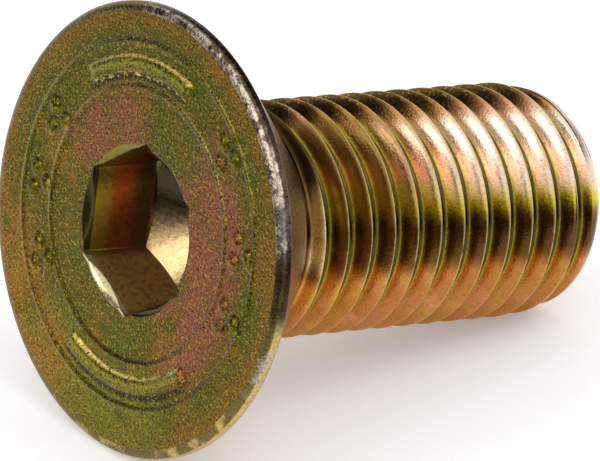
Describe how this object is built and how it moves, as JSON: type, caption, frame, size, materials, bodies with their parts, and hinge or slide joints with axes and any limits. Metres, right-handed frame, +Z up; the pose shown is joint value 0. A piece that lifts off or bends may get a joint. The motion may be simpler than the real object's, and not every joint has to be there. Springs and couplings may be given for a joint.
{
  "type": "countersunk socket screw",
  "caption": "Yellow-plated steel countersunk screw with a hexagon socket, a flat raised-marked face and a coarse thread up to its head.",
  "frame": {"origin": "on the ground, at the middle of the footprint of the screw as it lies", "axes": "+Z up, and the head's face looks towards -Y and a little up; the screw's axis runs from the head along +Y and leans down to the tip"},
  "size_m": [0.03, 0.0388, 0.0293],
  "materials": {
    "yellow_plate": "yellow chromate over zinc, satin on the head's face and bright on the thread"
  },
  "bodies": {
    "root": {"countersunk_screw": "yellow_plate"}
  },
  "joints": []
}
